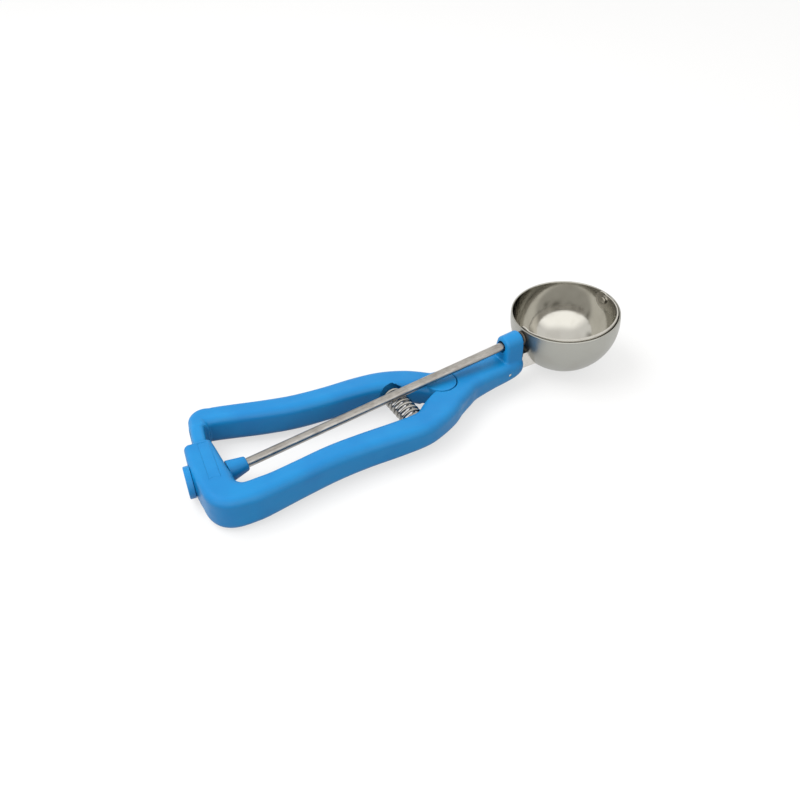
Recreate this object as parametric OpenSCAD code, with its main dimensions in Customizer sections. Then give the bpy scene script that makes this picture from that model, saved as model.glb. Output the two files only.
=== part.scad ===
// Lever ice cream scoop: two moulded arms hinged at the neck, a rack and pinion in the
// back sleeve, a long rod, and a bowl with a sweeping scraper.
// +X runs towards the bowl, +Y towards the lever arm, +Z up. The table is z = 0. The origin
// is on the table under the middle of the sleeve.

/* [Bowl] */
// Outer diameter of the bowl's ball shape
bowl_d = 57.6; // [54:0.2:62]
// Thickness of the bowl's sheet steel
bowl_wall = 0.8; // [0.6:0.1:1.2]
// Height of the rim above the rod's line
rim_rise = 4.3; // [3:0.1:6]
// Radius of the bead along the rim
rim_bead_r = 0.55; // [0.45:0.05:0.8]

/* [Scraper] */
// Width of the scraper strip
scraper_w = 9; // [6:0.5:11]
// Thickness of the scraper strip
scraper_t = 0.7; // [0.5:0.1:1]
// Gap between the scraper and the bowl
scraper_gap = 0.35; // [0.3:0.05:0.6]
// Radius of the round tabs at both ends of the strip
scraper_tab_r = 5.2; // [4:0.1:6]
// Angle that the strip's middle rests below the rod's level
scraper_rest = 3; // [2:0.5:8]
// Angle that the scraper sweeps through
sweep = 172; // [150:1:174]

/* [Rod] */
// Diameter of the drive rod
rod_d = 4.5; // [3.8:0.1:4.8]
// Height of the rod's axis above the table at the middle of the sleeve
rod_height = 10; // [9.8:0.05:10.2]
// Distance along the rod from the sleeve's middle to the bowl's centre
bowl_reach = 200; // [198:0.5:206]
// Length of the cone collar
collar_len = 8.8; // [5:0.2:10]
// Radius of the collar's wide end
collar_wide_r = 5.7; // [4.5:0.1:6.4]
// Radius of the collar's narrow end
collar_narrow_r = 3.9; // [3:0.1:4.4]

/* [Gear] */
// Number of teeth on the pinion
pinion_teeth = 12; // [12:1:12]
// Gear module, the pitch diameter for each tooth
gear_module = 0.667; // [0.64:0.003:0.68]
// Face width of the gear teeth
gear_face = 6; // [5:0.2:6.2]
// Play between meshing teeth, measured along the pitch line
backlash = 0.22; // [0.16:0.01:0.3]
// Thickness of the rack's bar behind its teeth
rack_back = 2; // [1.6:0.1:2.1]

/* [Sleeve] */
// Width of the sleeve across its front and back faces
sleeve_w = 15; // [14.6:0.1:16]
// Height of the sleeve's top above the table
sleeve_top = 18.6; // [18.4:0.1:19.4]
// Distance from the rod's line to the sleeve's open end
sleeve_mouth = 17; // [16:0.5:18]
// Thickness of the sleeve's top and bottom walls
sleeve_wall = 1.4; // [1.2:0.1:1.5]
// Height of the flat rest pad under the sleeve
pad_h = 0.4; // [0.3:0.1:0.8]
// Diameter of the round button on the back
button_d = 14.8; // [12:0.2:15]
// Height of the round button
button_h = 2.8; // [2:0.1:4]
// Angle that the button turns towards the sleeve's open end
button_turn = 8; // [0:1:8]
// Length of the inlaid cover on the top
cover_len = 24.4; // [18:0.2:25]
// Width of the inlaid cover
cover_w = 5; // [4:0.1:5.6]

/* [Arms] */
// Distance from the sleeve's middle to the lever's hinge
hinge_x = 120; // [118:0.5:122]
// Width of the lever's tongue in the sleeve
tongue_w = 6.4; // [6.2:0.1:6.8]
// Radius of the lever's knuckle
knuckle_r = 8; // [7:0.1:8.6]
// Diameter of the hinge pin
hinge_pin_d = 3.2; // [2.6:0.1:4]
// Rounding of the arms' long edges
arm_round = 4.2; // [3:0.1:5]
// Height of the neck's top above the table
neck_top = 17.4; // [17:0.1:17.8]
// Height of the neck's underside above the table
neck_base = 4.2; // [3.8:0.1:5]
// Gap between the neck's nose and the bowl
nose_gap = 2.8; // [2.6:0.1:4]
// Distance from the rod's line to the near arm's middle, beside the spring
near_spread = 20.1; // [19.6:0.1:21]
// Distance from the rod's line to the lever's middle, beside the spring
far_spread = 16.6; // [16:0.1:17.2]
// Width of the arms beside the spring
arm_w = 14.4; // [13.6:0.1:15]
// Length of the raised lug along the rod
lug_len = 11; // [9:0.5:13]
// Radius of the lug round the rod
lug_r = 5.2; // [4.8:0.1:5.8]

/* [Spring] */
// Distance from the sleeve's middle to the spring
spring_x = 97; // [95:0.5:99]
// Outer diameter of the return spring
spring_d = 11; // [9:0.1:11.4]
// Wire diameter of the return spring
spring_wire = 1.5; // [1.2:0.1:1.6]
// Number of turns of the return spring
spring_turns = 8; // [6:0.5:8.5]
// Depth of each spring pocket
pocket_depth = 2.2; // [1.5:0.1:2.6]

/* [Shank] */
// Width of the folded bracket that carries the bowl
shank_w = 8; // [6:0.1:9]
// Height of the folded bracket
shank_h = 8; // [6:0.1:8.4]
// Sheet thickness of the bracket
shank_t = 1.2; // [0.8:0.1:1.6]
// Length of the bracket inside the neck
shank_in = 16; // [12:0.5:20]
// Diameter of the bracket's cross pin
shank_pin_d = 2; // [1.5:0.1:2.6]

/* [Fits] */
// Radial clearance of a shaft that turns in a hole
run_gap = 0.06; // [0.03:0.01:0.09]
// Radial clearance of a piece that is pressed in
press_gap = 0.01; // [0.01:0.005:0.02]
// Clearance round a piece that moves past another
slide_gap = 0.3; // [0.3:0.05:0.35]
// Gap round an inlaid piece
inlay_gap = 0.12; // [0.1:0.01:0.2]

/* [Hidden] */

plastic_blue = [0.14, 0.47, 0.77];
steel = [0.72, 0.71, 0.68];
dark_steel = [0.35, 0.34, 0.33];
round_fn = 64;
bowl_fn = 128;
hull_fn = 32;
cut = 40;
tiny = 0.01;

// The rod rises from the sleeve so that the bowl's lowest point stands on the table.
bowl_r = bowl_d / 2;
rod_r = rod_d / 2;
rod_tilt = asin((bowl_r - rod_height) / bowl_reach);
function rod_z(x) = rod_height + x * tan(rod_tilt);
module on_rod(along = 0) {
    translate([0, 0, rod_height]) rotate([0, -rod_tilt, 0]) translate([along, 0, 0]) children();
}
// A round bar along the rod's line
module rod_bar(from, to, r, r_end = -1) {
    on_rod(from) rotate([0, 90, 0])
        cylinder(h = to - from, r1 = r, r2 = r_end < 0 ? r : r_end, $fn = round_fn);
}
module at_hinge() {
    translate([hinge_x, 0, 0]) children();
}

// Gear sizes
pitch_r = gear_module * pinion_teeth / 2;
gear_x = -0.2;
rack_r = hinge_x - gear_x;
tooth_pitch = PI * gear_module;
pressure = 25;
addendum = 0.9 * gear_module;
dedendum = 1.2 * gear_module;
base_r = pitch_r * cos(pressure);
gear_ratio = rack_r / pitch_r;
lever_swing = sweep / gear_ratio;
function involute_angle(r) = sqrt(pow(r / base_r, 2) - 1) * 180 / PI - acos(base_r / r);

// Sleeve sizes: the tongue is a ring sector about the hinge.
pad_w = 8;
pad_len = 24;
tongue_in = rack_r - tongue_w / 2;
tongue_out = rack_r + tongue_w / 2;
half = sleeve_w / 2;
sleeve_x = -1.1;
sleeve_front = sleeve_x + half;
mouth_x = sleeve_x + 0.75;
mouth_half = half - 1.2;
cavity_base = pad_h + sleeve_wall;
cavity_top = sleeve_top - sleeve_wall;
tongue_base = cavity_base + slide_gap;
tongue_top = cavity_top - slide_gap;
tongue_tip = -3;
tongue_round = 2;
guide_h = 2.4;
travel = lever_swing * PI / 180 * rack_r;
tongue_solid = travel + pitch_r + addendum + 2 * slide_gap;
shoulder_y = sleeve_mouth + travel + 0.6;
shoulder_r = norm([hinge_x - mouth_x - mouth_half, sleeve_mouth]) - 2 * slide_gap;
corner_x = 9;
corner_y = shoulder_y + 4.4;
corner_r = 8.2;
corner_round = 3.8;
corner_inner = 1;
corner_top = tongue_top + 0.4;
corner_base = tongue_base - 0.3;
cavity_end = tongue_tip - travel - 0.8;
function arc_deg(y) = asin(y / hinge_x);
corner_turn = arc_deg(shoulder_y);

// A ring sector about the hinge, from one distance across to another
module hinge_sector(from_y, to_y) {
    at_hinge() rotate([0, 0, 180 - arc_deg(to_y)])
        rotate_extrude(angle = arc_deg(to_y) - arc_deg(from_y), $fn = 256) children();
}
// Points along a circle about the hinge, from one distance across to another
arc_steps = 12;
function arc_points(r, from_y, to_y) = [for (k = [0 : arc_steps])
    let (a = arc_deg(from_y) + (arc_deg(to_y) - arc_deg(from_y)) * k / arc_steps)
        [hinge_x - r * cos(a), r * sin(a)]];
module tongue_cavity() {
    translate([0, 0, cavity_base]) linear_extrude(cavity_top - cavity_base)
        polygon(concat(arc_points(tongue_out + slide_gap, cavity_end, sleeve_mouth + 4),
                       arc_points(tongue_in - slide_gap, sleeve_mouth + 4, cavity_end)));
}
module round_rect(low, high, r) {
    translate([low.x + r, low.y]) square([high.x - low.x - 2 * r, high.y - low.y]);
    translate([low.x, low.y + r]) square([high.x - low.x, high.y - low.y - 2 * r]);
    for (x = [low.x + r, high.x - r], y = [low.y + r, high.y - r])
        translate([x, y]) circle(r, $fn = hull_fn);
}

// Lofted arms. A station is [x, y, half width, base, top, rounding], and the loft runs smoothly
// through the stations with rounded sections square to its path.
corner_steps = 4;
rings_per_span = 4;
function blend(a, b, c, d, t) =
    0.5 * (2 * b + (c - a) * t + (2 * a - 5 * b + 4 * c - d) * t * t
    + (3 * b - a - 3 * c + d) * t * t * t);
function at(s, i) = s[max(0, min(len(s) - 1, i))];
function smooth(s) = [
    for (i = [0 : len(s) - 2], k = [0 : rings_per_span - 1])
        blend(at(s, i - 1), s[i], s[i + 1], at(s, i + 2), k / rings_per_span),
    s[len(s) - 1]
];
function heading(s, i) =
    let (d = at(s, i + 1) - at(s, i - 1)) [d.x, d.y] / norm([d.x, d.y]);
function ring(s, d) = [
    for (q = [0 : 3], k = [0 : corner_steps])
        let (a = 90 * (q + k / corner_steps),
             r = min(s[5], s[2] - tiny, (s[4] - s[3]) / 2 - tiny),
             across = (q == 0 || q == 3 ? 1 : -1) * (s[2] - r) + r * cos(a),
             up = (q < 2 ? s[4] - r : s[3] + r) + r * sin(a))
            [s.x - d.y * across, s.y + d.x * across, up]
];
module loft(stations) {
    s = smooth(stations);
    n = 4 * (corner_steps + 1);
    rings = [for (i = [0 : len(s) - 1]) ring(s[i], heading(s, i))];
    points = [for (r = rings, p = r) p];
    last = (len(s) - 1) * n;
    sides = [for (i = [0 : len(s) - 2], j = [0 : n - 1]) let (a = i * n + j, b = i * n + (j + 1) % n)
        each [[a, a + n, b], [b, a + n, b + n]]];
    ends = [[for (j = [0 : n - 1]) j], [for (j = [n - 1 : -1 : 0]) last + j]];
    polyhedron(points, concat(ends, sides), convexity = 6);
}

// The fixed moulding runs from the sleeve round the near corner, along the near arm to the nose.
nose_x = bowl_reach - bowl_r - nose_gap;
function neck_x(share) = hinge_x + share * (nose_x - hinge_x);
near_mid = -near_spread;
arm_half = arm_w / 2;
frame_path = [
    [mouth_x, sleeve_mouth, mouth_half, pad_h, sleeve_top, 2.8],
    [sleeve_x + 0.4, 11, half - 0.6, pad_h, sleeve_top, 3],
    [sleeve_x, 4, half - 0.1, pad_h, sleeve_top, 3],
    [sleeve_x, -3, half, pad_h, sleeve_top, 3],
    [sleeve_x + 1, -8, half - 0.6, pad_h, sleeve_top, 3.2],
    [sleeve_x + 1.4, -12, half - 1.1, pad_h, sleeve_top, 3.6],
    [1.5, -15.6, half - 1.3, pad_h, sleeve_top, 3.8],
    [3.7, -18.5, half - 1.3, 0.6, sleeve_top, arm_round],
    [6.8, -20.6, 6.2, 0.8, sleeve_top, arm_round],
    [10.5, -21.4, 6.3, 1, sleeve_top, arm_round],
    [15, -21.4, 6.3, 1.2, 18.5, arm_round],
    [22, -21.1, 6, 1.5, 18.4, arm_round],
    [34, -20, 6, 1.9, 18.3, arm_round],
    [50, -18.8, 6.3, 2.5, 18.2, arm_round],
    [66, -19, 6.5, 3, 18, arm_round],
    [82, near_mid, arm_half - 0.3, 3.5, 17.8, arm_round],
    [95, near_mid - 0.3, arm_half, 3.9, 17.6, arm_round],
    [103, near_mid + 1.6, arm_half + 0.4, neck_base, neck_top, arm_round],
    [111, near_mid + 6.1, arm_half + 1.8, neck_base, neck_top, arm_round],
    [117.5, -8.9, 10, neck_base, neck_top, arm_round],
    [neck_x(0.1), -4.4, 10.7, neck_base, neck_top, arm_round],
    [neck_x(0.245), -1.7, 10.2, neck_base, neck_top, arm_round],
    [neck_x(0.41), -0.8, 9.5, neck_base + 0.3, neck_top, arm_round],
    [neck_x(0.6), -0.2, 9, neck_base + 0.8, neck_top, arm_round],
    [neck_x(0.765), 0, 8.8, neck_base + 1.4, neck_top, arm_round],
    [neck_x(0.89), 0, 8.3, neck_base + 2.2, neck_top, arm_round],
    [nose_x - 1.6, 0, 7.4, neck_base + 3.2, neck_top, arm_round],
    [nose_x, 0, 6, neck_base + 4.6, neck_top - 1.2, arm_round - 1],
];
// A second strip fills the near outer corner, which is squarer than the inner one.
strip_x = sleeve_x - half + 4;
corner_strip = [
    [strip_x + 0.6, 1, 3.4, pad_h + 0.6, sleeve_top - 0.6, 3],
    [strip_x, -3, 4, pad_h, sleeve_top, 3],
    [strip_x, -8, 4, pad_h, sleeve_top, 3.2],
    [strip_x, -13.2, 4, pad_h, sleeve_top, 3.6],
    [strip_x + 0.8, -17, 4, pad_h, sleeve_top, 3.8],
    [strip_x + 2.9, -20.1, 4, pad_h, sleeve_top, 3.9],
    [strip_x + 6.4, -22.2, 4, 0.6, sleeve_top, 3.9],
    [strip_x + 11.4, -23.2, 4, 0.8, sleeve_top, 3.9],
    [13, -23.4, 4, 1.1, 18.5, 3.9],
    [19, -22.6, 3.6, 2, 17.9, 3.5],
];
// The moving arm runs from the knuckle along the far side to the outer back corner.
lever_path = [
    [hinge_x, 0, knuckle_r - 0.3, neck_base + 0.2, neck_top - 0.2, arm_round],
    [hinge_x - 6.7, 6.5, 7.7, neck_base, neck_top - 0.1, arm_round],
    [105.9, far_spread - 4.1, arm_half + 0.2, neck_base, neck_top, arm_round],
    [95, far_spread + 0.6, arm_half, 3.9, 17.6, arm_round],
    [82, far_spread + 2.8, arm_half - 0.3, 3.5, 17.8, arm_round],
    [66, 20.7, 6.4, 3, 18, arm_round],
    [50, 22.9, 6.2, 2.5, 18.1, arm_round],
    [36, 26.9, 6.1, 2.1, 18, arm_round],
    [24, 31.2, 6, 1.9, 17.8, arm_round],
    [16, 34.2, 6, corner_base, corner_top + 0.2, arm_round],
    [10.5, corner_y + 1.9, 6.1, corner_base, corner_top, arm_round],
    [corner_x - 1, corner_y + 2, 6.1, corner_base, corner_top, arm_round],
];

// Hinge sizes
floor_z = neck_base + 2.4;
floor_r = knuckle_r + 2.4;
knuckle_base = floor_z + slide_gap;
socket_r = knuckle_r + slide_gap + 0.15;
hinge_pin_r = hinge_pin_d / 2;
pin_head_r = hinge_pin_r + 1.5;
pin_head_h = 1.4;
pin_top = neck_top - 3;
swing_zone = [
    [94, -10.6], [104, -9.6], [hinge_x - 6.4, -5.6], [hinge_x, 0], [hinge_x + 6.6, 5.6],
    [hinge_x + 1.5 * knuckle_r, 2 * knuckle_r], [94, 30],
];

// Spring sizes
spring_r = spring_d / 2;
spring_z = 10.6;
pocket_r = spring_r + 0.4;
pocket_cut = 8;
near_face = near_mid + arm_half;
far_face = far_spread - 1.055 * arm_half;
near_floor = near_face - pocket_depth;
far_floor = far_face + pocket_depth;
spring_near = near_floor + slide_gap;
spring_far = far_floor - slide_gap;

// Shank sizes
shank_z = neck_base + 4.4;
shank_out = 12;
shank_pin_back = 10.4;
shank_pin_x = nose_x - shank_pin_back;
shank_pin_z = shank_z + 2.8;
shank_pin_half = 8.4;
pin_bore_len = 24;

// Button sizes
button_x = sleeve_x - half + 0.1;
button_y = 2.6;
button_z = sleeve_top / 2 + 0.9;
spigot_r = button_d / 2 - 2.4;
spigot_h = 1.3;
boss_h = 4;
boss_r = button_d / 2 - 0.5;
rod_rear = button_x + spigot_h + 1.6;
module at_button() {
    translate([button_x, button_y, button_z]) rotate([0, 0, -button_turn]) rotate([0, -90, 0])
        children();
}

// Places along the rod
scraper_out = bowl_r - bowl_wall - scraper_gap;
scraper_in = scraper_out - scraper_t;
hub_r = 3.6;
hub_t = 1.4;
hub_back = bowl_reach - sqrt(scraper_in * scraper_in - hub_r * hub_r) + tiny;
rod_front = hub_back + hub_t + 0.5;
pinion_from = gear_x - gear_face / 2;
pinion_hub_len = 1.9;
pinion_hub_r = 2.9;
pinion_to = pinion_from + gear_face;
cross_pin_d = 1;
collar_from = sleeve_front + collar_wide_r * sin(rod_tilt) + slide_gap;
washer_from = nose_x + slide_gap + (lug_r - 1.7) * sin(rod_tilt) + 0.8;
washer_to = bowl_reach - bowl_r - slide_gap;

// The cover's plan is a slanted strip with a hollow near end.
cover_x = 0.5;
cover_y = 3.2;
cover_slant = 6.8;
cover_hollow_r = 4;
cover_hollow = 1;
module panel_pocket(grow, deep) {
    size = [cover_w / 2 + grow, cover_len / 2 + grow];
    translate([cover_x, cover_y, sleeve_top - deep]) rotate([0, 0, -cover_slant])
        linear_extrude(deep + tiny) difference() {
            translate(-size) square(2 * size);
            translate([0, -cover_len / 2 - cover_hollow_r + cover_hollow])
                circle(cover_hollow_r - grow, $fn = round_fn);
        }
}

module lug() {
    hull() {
        on_rod((nose_x - lug_len) / cos(rod_tilt) + 0.6) rotate([0, 90, 0])
            cylinder(h = lug_len - 1.2, r = lug_r, $fn = hull_fn);
        on_rod((nose_x - lug_len) / cos(rod_tilt) + 0.1) rotate([0, 90, 0])
            cylinder(h = lug_len - 0.2, r = lug_r - 0.9, $fn = hull_fn);
        translate([nose_x - lug_len - 1.5, -lug_r - 1.6, neck_top - 4])
            cube([lug_len + 0.6, 2 * lug_r + 3.2, 1]);
    }
}

module rod_passages() {
    rod_bar(rod_rear - 0.4, collar_from, rod_r + run_gap);
    rod_bar(nose_x - lug_len - 4, nose_x + 4, rod_r + run_gap);
    rod_bar(nose_x - lug_len - 4, nose_x - lug_len + 2.4, rod_r + 0.9);
}

module handle_frame() {
    color(plastic_blue) difference() {
        union() {
            loft(frame_path);
            loft(corner_strip);
            lug();
            translate([-pad_w / 2, -pad_len / 2, 0]) cube([pad_w, pad_len, pad_h + 1.2]);
            at_button() translate([0, 0, -boss_h]) cylinder(h = boss_h, r = boss_r, $fn = round_fn);
        }
        tongue_cavity();
        panel_pocket(inlay_gap, 0.7);
        panel_pocket(-1, sleeve_wall + 0.3);
        rod_passages();
        at_button() translate([0, 0, -press_gap])
            cylinder(h = button_h, r = button_d / 2 + slide_gap, $fn = round_fn);
        at_button() translate([0, 0, -spigot_h - 0.1])
            cylinder(h = spigot_h + 1, r = spigot_r + 2 * press_gap, $fn = round_fn);
        at_hinge() translate([0, 0, floor_z]) cylinder(h = cut, r = socket_r, $fn = round_fn);
        translate([0, 0, floor_z]) linear_extrude(cut) polygon(swing_zone);
        translate([0, 0, -1]) linear_extrude(floor_z + 2) difference() {
            polygon(swing_zone);
            translate([hinge_x, 0]) circle(floor_r, $fn = round_fn);
        }
        at_hinge() translate([0, 0, neck_base - 1])
            cylinder(h = cut, r = hinge_pin_r + press_gap, $fn = round_fn);
        at_hinge() translate([0, 0, neck_base - 1])
            cylinder(h = 1 + pin_head_h + press_gap, r = pin_head_r + press_gap, $fn = round_fn);
        translate([spring_x, near_floor, spring_z]) rotate([-90, 0, 0])
            cylinder(h = pocket_cut, r = pocket_r, $fn = round_fn);
        translate([nose_x - shank_in, -shank_w / 2 - press_gap, shank_z - press_gap])
            cube([cut, shank_w + 2 * press_gap, shank_h + 2 * press_gap]);
        translate([shank_pin_x, 0, shank_pin_z]) rotate([90, 0, 0])
            cylinder(h = pin_bore_len, r = shank_pin_d / 2 + press_gap, center = true,
                     $fn = round_fn);
    }
}

// The outer back corner is half a round puck that runs on straight to the tongue.
module outer_corner() {
    translate([corner_x, corner_y, 0]) rotate([0, 0, -corner_turn]) {
        rotate_extrude(angle = 180, $fn = round_fn) intersection() {
            round_rect([-corner_r, corner_base], [corner_r, corner_top], corner_round);
            square([corner_r, cut]);
        }
        rotate([90, 0, 0]) linear_extrude(corner_r)
            round_rect([-corner_r, corner_base], [corner_inner, corner_top], corner_round);
    }
}

module lever_arm() {
    color(plastic_blue) difference() {
        union() {
            difference() {
                union() {
                    loft(lever_path);
                    outer_corner();
                }
                hinge_sector(0, shoulder_y)
                    translate([shoulder_r, 0]) square([2 * half, cut]);
            }
            at_hinge() translate([0, 0, knuckle_base])
                cylinder(h = neck_top - knuckle_base, r = knuckle_r, $fn = round_fn);
            hinge_sector(tongue_tip, corner_y)
                round_rect([tongue_in, tongue_base], [tongue_out, tongue_top], tongue_round);
        }
        hinge_sector(tongue_tip - 2, tongue_solid)
            translate([tongue_in - 1, tongue_base + guide_h]) square([tongue_w + 2, cut]);
        hinge_sector(tongue_solid - 1, rack_end + press_gap) tail_section(press_gap);
        at_hinge() translate([0, 0, -1])
            cylinder(h = knuckle_base + 1, r = floor_r + slide_gap, $fn = round_fn);
        at_hinge() cylinder(h = pin_top + slide_gap, r = hinge_pin_r + run_gap, $fn = round_fn);
        translate([spring_x, far_floor, spring_z]) rotate([90, 0, 0])
            cylinder(h = pocket_cut, r = pocket_r, $fn = round_fn);
    }
}

// The rack's bar has a sloping underside, level with the rod, and teeth that point down.
rack_in = rack_r - gear_face / 2;
rack_out = rack_in + gear_face;
rack_end = tongue_solid + 8;
rack_top = tongue_top;
tail_w = 4;
tail_depth = 1.1;
function rack_root(r) = rod_z(hinge_x - r) + (pitch_r + dedendum) / cos(rod_tilt);
module rack_section() {
    polygon([
        [rack_in, rack_root(rack_in)], [rack_out, rack_root(rack_out)],
        [rack_out, rack_top], [rack_in, rack_top],
    ]);
}
module tail_section(grow) {
    middle = (rack_in + rack_out) / 2;
    low = rack_root(rack_in) + 0.1;
    translate([middle - tail_w / 2 - grow, low - grow])
        square([tail_w + 2 * grow, rack_top - tail_depth - low + 2 * grow]);
}
module rack_tooth() {
    gap_half = tooth_pitch / 4 - backlash / 4;
    low = pitch_r - addendum;
    high = pitch_r + dedendum + 0.2;
    slope = tan(pressure);
    on_rod(hinge_x - rack_out + 0.1) rotate([90, 0, 90]) linear_extrude(gear_face - 0.2)
        polygon([
            [gap_half + (high - pitch_r) * slope, high], [gap_half - addendum * slope, low],
            [-gap_half + addendum * slope, low], [-gap_half - (high - pitch_r) * slope, high],
        ]);
}
module gear_rack() {
    tooth_deg = tooth_pitch / rack_r * 180 / PI;
    last_tooth = floor((tongue_solid - 1.2) / tooth_pitch - 0.5);
    color(steel) union() {
        hinge_sector(tongue_tip + 0.2, tongue_solid - press_gap) rack_section();
        hinge_sector(tongue_solid - 1, rack_end) tail_section(0);
        for (k = [-1 : last_tooth])
            at_hinge() rotate([0, 0, -(k + 0.5) * tooth_deg]) translate([-hinge_x, 0, 0]) rack_tooth();
    }
}

module hinge_pin() {
    color(steel) at_hinge() translate([0, 0, neck_base]) {
        cylinder(h = pin_head_h, r = pin_head_r, $fn = round_fn);
        cylinder(h = pin_top - neck_base, r = hinge_pin_r, $fn = round_fn);
    }
}

// The spring is one tube along a helix whose ends close up and run straight into their seats.
curl_rings = 8;
tube_sides = 6;
wire_r = spring_wire / 2;
coil_r = spring_r - wire_r;
spring_len = spring_far - spring_near;
helix = [for (i = [0 : spring_turns * curl_rings])
    let (t = i / (spring_turns * curl_rings), a = 360 * i / curl_rings)
        [spring_x + coil_r * cos(a), spring_near + wire_r * 2 + t * (spring_len - wire_r * 4),
         spring_z + coil_r * sin(a)]];
spring_line = concat(
    [helix[0] - [0, 2 * wire_r, 0]], helix, [helix[len(helix) - 1] + [0, 2 * wire_r, 0]]);
function unit(v) = v / norm(v);
module tube(line, r, sides) {
    last = len(line) - 1;
    rings = [for (i = [0 : last])
        let (ahead = i == 0 || i == last ? [0, 1, 0]
                 : unit(line[i + 1] - line[i - 1]),
             out = [line[i].x - spring_x, 0, line[i].z - spring_z],
             side = unit(cross(ahead, out)), up = cross(side, ahead))
            [for (k = [0 : sides - 1]) let (a = 360 * k / sides)
                line[i] + r * (cos(a) * up + sin(a) * side)]];
    points = [for (g = rings, p = g) p];
    walls = [for (i = [0 : last - 1], k = [0 : sides - 1])
        let (a = i * sides + k, b = i * sides + (k + 1) % sides)
            each [[a, b, a + sides], [b, b + sides, a + sides]]];
    ends = [[for (k = [sides - 1 : -1 : 0]) k], [for (k = [0 : sides - 1]) last * sides + k]];
    polyhedron(points, concat(walls, ends), convexity = 10);
}
// Least distance between surfaces of neighbouring turns, measured on the line's points
self_gap = min([for (i = [0 : len(helix) - 1], j = [i + curl_rings / 2 + 1 : len(helix) - 1])
    norm(helix[i] - helix[j])]) - spring_wire;
echo(spring_gap_mm = self_gap);

module return_spring() {
    color(dark_steel) tube(spring_line, wire_r, tube_sides);
}

module drive_rod() {
    color(steel) difference() {
        rod_bar(rod_rear, rod_front, rod_r);
        cross_pin_hole();
    }
}

module cross_pin_hole() {
    on_rod(pinion_to - 2 + pinion_hub_len / 2)
        cylinder(h = 4 * pinion_hub_r, r = cross_pin_d / 2 + press_gap, center = true,
                 $fn = hull_fn);
}

// One tooth's outline, half on each side of straight up, with involute flanks
tooth_half_deg = 90 / pinion_teeth - backlash / 4 / pitch_r * 180 / PI;
outer_r = pitch_r + addendum;
root_r = pitch_r - dedendum;
flank_steps = 4;
flank = [for (i = [0 : flank_steps])
    let (r = base_r + (outer_r - base_r) * i / flank_steps,
         a = tooth_half_deg + involute_angle(pitch_r) - involute_angle(r))
        [r, a]];
function polar(r, a) = [r * sin(a), r * cos(a)];
module pinion_outline() {
    circle(root_r, $fn = round_fn);
    for (k = [0 : pinion_teeth - 1]) rotate(k * 360 / pinion_teeth)
        polygon(concat(
            [polar(root_r - 0.3, flank[0][1])],
            [for (f = flank) polar(f[0], f[1])],
            [for (i = [flank_steps : -1 : 0]) polar(flank[i][0], -flank[i][1])],
            [polar(root_r - 0.3, -flank[0][1])]));
}
module pinion() {
    color(dark_steel) difference() {
        union() {
            on_rod(pinion_from) rotate([90, 0, 90]) linear_extrude(gear_face - 2) pinion_outline();
            rod_bar(pinion_to - 2 - tiny, pinion_to + pinion_hub_len - 2, pinion_hub_r);
        }
        rod_bar(pinion_from - 1, pinion_to + 5, rod_r + press_gap);
        cross_pin_hole();
    }
}

module pinion_pin() {
    color(steel) on_rod(pinion_to - 2 + pinion_hub_len / 2)
        cylinder(h = 2 * pinion_hub_r - 0.2, r = cross_pin_d / 2, center = true, $fn = hull_fn);
}

module rod_collar() {
    color(plastic_blue) difference() {
        rod_bar(collar_from, collar_from + collar_len, collar_wide_r, collar_narrow_r);
        rod_bar(collar_from - 1, collar_from + collar_len + 1, rod_r + press_gap);
    }
}

module rear_button() {
    rim = 0.5;
    color(plastic_blue) at_button() {
        cylinder(h = button_h - rim, r = button_d / 2, $fn = round_fn);
        translate([0, 0, button_h - rim - tiny])
            cylinder(h = rim + tiny, r1 = button_d / 2, r2 = button_d / 2 - rim, $fn = round_fn);
        translate([0, 0, -spigot_h]) cylinder(h = spigot_h + tiny, r = spigot_r, $fn = round_fn);
    }
}

module sleeve_cover() {
    color(plastic_blue) {
        panel_pocket(0, 0.7 - press_gap);
        panel_pocket(-1 - inlay_gap, sleeve_wall - 0.05);
    }
}

module bowl() {
    rim_r = sqrt(bowl_r * bowl_r - rim_rise * rim_rise);
    color(steel) on_rod(bowl_reach) difference() {
        rotate_extrude($fn = bowl_fn) {
            intersection() {
                difference() {
                    circle(bowl_r, $fn = bowl_fn);
                    circle(bowl_r - bowl_wall, $fn = bowl_fn);
                }
                translate([0, -bowl_r - 1]) square([bowl_r + 1, bowl_r + 1 + rim_rise]);
            }
            translate([rim_r - bowl_wall / 2, rim_rise]) circle(rim_bead_r, $fn = hull_fn);
        }
        rotate([0, -90, 0]) cylinder(h = bowl_r + 2, r = rod_r + run_gap, $fn = round_fn);
        rotate([0, 90, 0]) cylinder(h = bowl_r + 2, r = pivot_r + press_gap, $fn = round_fn);
    }
}

// The bracket is a folded channel whose front end is cut to the bowl's ball shape.
module bowl_shank() {
    ear_h = 1.8;
    color(steel) difference() {
        union() {
            translate([nose_x - shank_in + 0.2, -shank_w / 2, shank_z])
                cube([shank_in + shank_out, shank_w, shank_h]);
            translate([nose_x + 0.8, -shank_w / 2, shank_z + shank_h - tiny])
                cube([4.4, shank_w, ear_h + tiny]);
        }
        translate([nose_x - shank_in - 1, -shank_w / 2 + shank_t, shank_z + shank_t])
            cube([cut, shank_w - 2 * shank_t, shank_h + 4]);
        on_rod(bowl_reach) sphere(bowl_r + press_gap, $fn = bowl_fn);
        translate([shank_pin_x, 0, shank_pin_z]) rotate([90, 0, 0])
            cylinder(h = pin_bore_len, r = shank_pin_d / 2 + press_gap, center = true,
                     $fn = round_fn);
    }
}

module shank_pin() {
    color(steel) translate([shank_pin_x, 0, shank_pin_z]) rotate([90, 0, 0])
        cylinder(h = 2 * shank_pin_half, r = shank_pin_d / 2, center = true, $fn = round_fn);
}

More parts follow.
